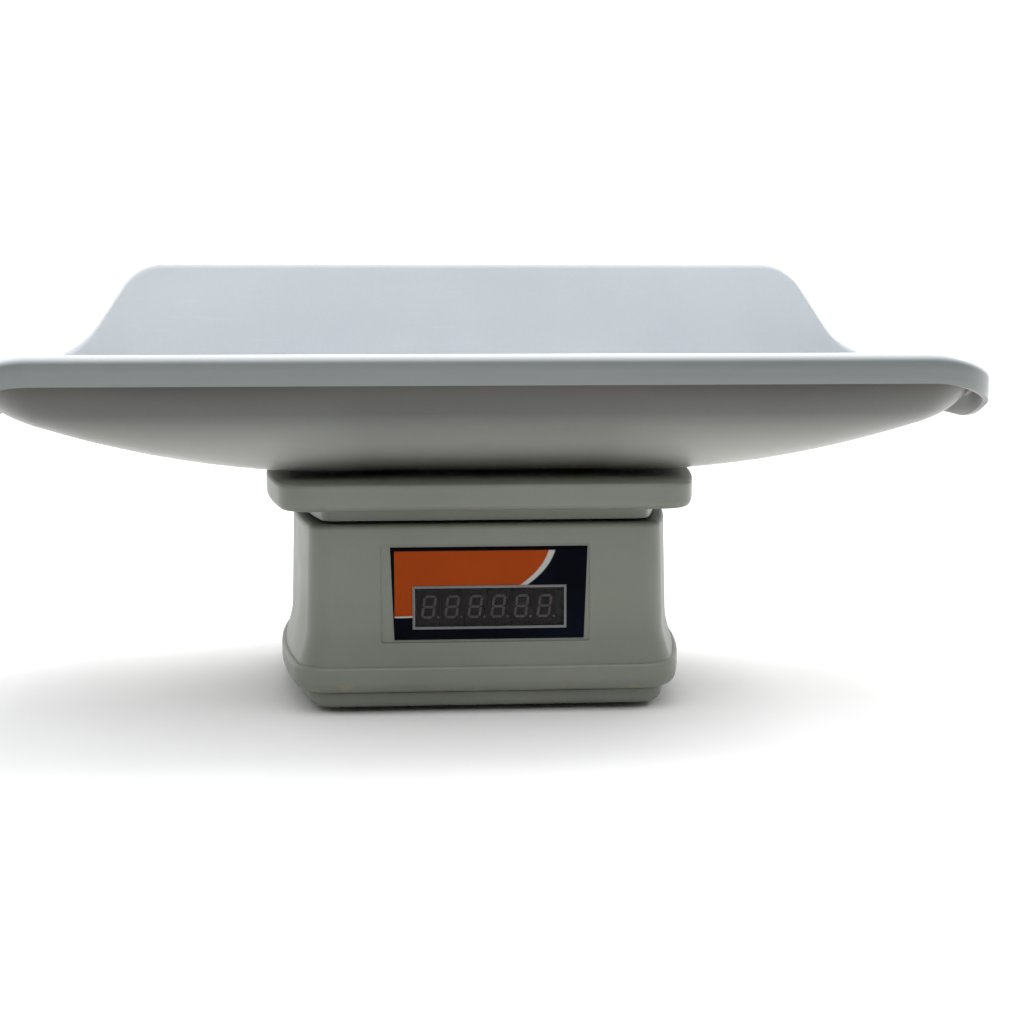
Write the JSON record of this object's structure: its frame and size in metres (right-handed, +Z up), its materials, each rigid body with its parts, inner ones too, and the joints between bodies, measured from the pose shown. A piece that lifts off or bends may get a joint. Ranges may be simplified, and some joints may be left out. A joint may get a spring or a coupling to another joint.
{
  "type": "animal weighing scale",
  "caption": "Bench scale for small animals: a glossy moulded tray with a high back and turned-down rim, on a load-cell platform over a flared case with a front display.",
  "frame": {"origin": "on the table, under the middle of the scale's overall plan", "axes": "+Z up; +X along the tray to the right as the display is read; the display faces -Y"},
  "size_m": [0.566, 0.2536, 0.247],
  "materials": {
    "tray_white": "moulded, glossy white with a cool cast",
    "case_grey_green": "moulded satin ABS, grey-green",
    "label_print": "printed film, near-black blue with an orange field and a pale curve",
    "pale_rim": "thin moulded rim, pale grey",
    "smoked_window": "smoked clear acrylic",
    "digit_black": "black display module face",
    "segment_grey": "diffuse segment, unlit",
    "circuit_board": "lacquered circuit board, olive",
    "black_plastic": "moulded black",
    "button_grey": "moulded dark grey",
    "white_nylon": "moulded natural nylon",
    "wire_sleeve": "soft sleeve",
    "rubber_black": "moulded rubber",
    "foot_black": "moulded black disc on a steel stud",
    "cell_aluminium": "machined",
    "cast_spider": "sand cast and milled",
    "zinc_steel": "zinc plated",
    "screw_steel": "plated",
    "lamination_steel": "stacked laminations",
    "coil_tape": "taped winding",
    "potting": "white potting",
    "brass_contact": "plain"
  },
  "bodies": {
    "base": {"base_frame": "zinc_steel", "battery": "black_plastic", "battery_leads": "wire_sleeve", "battery_strap": "zinc_steel", "battery_tabs": "brass_contact", "board_capacitors": "cell_aluminium", "board_chips": "black_plastic", "board_plugs": "white_nylon", "board_screws": "screw_steel", "board_standoffs": "zinc_steel", "bottom_plate": "case_grey_green", "cell_screws": "screw_steel", "digit_housings": "digit_black", "digit_segments": "segment_grey", "display_board": "circuit_board", "display_frame": "pale_rim", "display_screws": "screw_steel", "display_window": "smoked_window", "foot_nuts": "zinc_steel", "frame_screws": "screw_steel", "front_label": "label_print", "gauge_covers": "potting", "heat_sink": "cell_aluminium", "housing_screws": "screw_steel", "inlet_pins": "brass_contact", "inlet_screws": "screw_steel", "load_cell": "cell_aluminium", "load_cell_cable": "wire_sleeve", "load_cell_stand": "cast_spider", "main_board": "circuit_board", "mains_leads": "wire_sleeve", "overload_post": "zinc_steel", "overload_stop": "zinc_steel", "power_inlet": "black_plastic", "ribbon_cable": "wire_sleeve", "ribbon_headers": "black_plastic", "switch_body": "black_plastic", "tare_barrel": "black_plastic", "transformer_clamp": "zinc_steel", "transformer_coil": "coil_tape", "transformer_core": "lamination_steel", "upper_housing": "case_grey_green"},
    "platform": {"platform_cover": "case_grey_green", "tray_bushes": "rubber_black", "platform_spider": "cast_spider", "cover_screws": "screw_steel", "upper_spacer": "cell_aluminium", "spider_screws": "screw_steel"},
    "tray_lift_off": {"tray": "tray_white"},
    "rocker": {"switch_rocker": "black_plastic"},
    "tare_key": {"tare_button": "button_grey"},
    "level_front_left": {"foot_front_left": "foot_black", "foot_pad_front_left": "rubber_black"},
    "level_front_right": {"foot_front_right": "foot_black", "foot_pad_front_right": "rubber_black"},
    "level_rear_left": {"foot_rear_left": "foot_black", "foot_pad_rear_left": "rubber_black"},
    "level_rear_right": {"foot_rear_right": "foot_black", "foot_pad_rear_right": "rubber_black"}
  },
  "joints": [
    {"name": "platform_sink", "type": "slide", "parent": "base", "child": "platform", "axis": [0, 0, -1], "range_m": [0, 0.0008], "stiffness_N_per_m": 100000, "springref_m": -0.00016},
    {"name": "tray_lift", "type": "slide", "parent": "platform", "child": "tray_lift_off", "axis": [0, 0, 1], "range_m": [0, 0.12]},
    {"name": "switch_rock", "type": "hinge", "parent": "base", "child": "rocker", "pos_m": [-0.004, 0.10679, 0.07199], "axis": [0, -0.0244, 0.9997], "range_deg": [-18, 0]},
    {"name": "tare_press", "type": "slide", "parent": "base", "child": "tare_key", "axis": [0, -0.9997, -0.0244], "range_m": [0, 0.0015], "stiffness_N_per_m": 1200, "springref_m": -0.0006},
    {"name": "level_screw_front_left", "type": "slide", "parent": "base", "child": "level_front_left", "axis": [0, 0, -1], "range_m": [0, 0.005]},
    {"name": "level_screw_front_right", "type": "slide", "parent": "base", "child": "level_front_right", "axis": [0, 0, -1], "range_m": [0, 0.005]},
    {"name": "level_screw_rear_left", "type": "slide", "parent": "base", "child": "level_rear_left", "axis": [0, 0, -1], "range_m": [0, 0.005]},
    {"name": "level_screw_rear_right", "type": "slide", "parent": "base", "child": "level_rear_right", "axis": [0, 0, -1], "range_m": [0, 0.005]}
  ]
}
